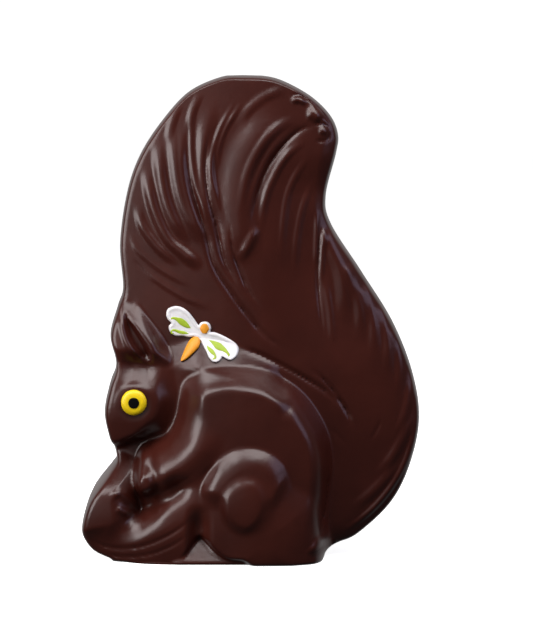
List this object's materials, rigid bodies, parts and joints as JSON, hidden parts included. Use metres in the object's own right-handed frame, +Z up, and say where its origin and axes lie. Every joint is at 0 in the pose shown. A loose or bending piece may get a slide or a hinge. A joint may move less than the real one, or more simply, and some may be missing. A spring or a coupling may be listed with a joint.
{
  "type": "chocolate squirrel",
  "caption": "Moulded dark chocolate squirrel, sitting in profile under a tall bushy tail, with sugar eyes and a sugar dragonfly on its back.",
  "frame": {"origin": "middle of the bounding box's bottom face, on the flat face that the figure stands on", "axes": "+Z up; -X the way the nose points, +X the way the tail swells; -Y towards the side that carries the dragonfly; the mould's parting plane is y = 0"},
  "size_m": [0.1201, 0.0688, 0.17],
  "materials": {
    "chocolate": "glossy tempered dark chocolate",
    "yellow_sugar": "satin pressed sugar",
    "black_sugar": "matt",
    "white_sugar": "matt pressed sugar",
    "green_sugar": "matt pressed sugar",
    "orange_sugar": "satin pressed sugar"
  },
  "bodies": {
    "root": {"chocolate_body": "chocolate", "eye_near": "yellow_sugar", "pupil_near": "black_sugar", "eye_far": "yellow_sugar", "pupil_far": "black_sugar", "dragonfly_wings": "white_sugar", "wing_field_1": "green_sugar", "wing_field_2": "green_sugar", "wing_field_3": "green_sugar", "wing_field_4": "green_sugar", "dragonfly_head": "orange_sugar", "dragonfly_abdomen": "orange_sugar"}
  },
  "joints": []
}
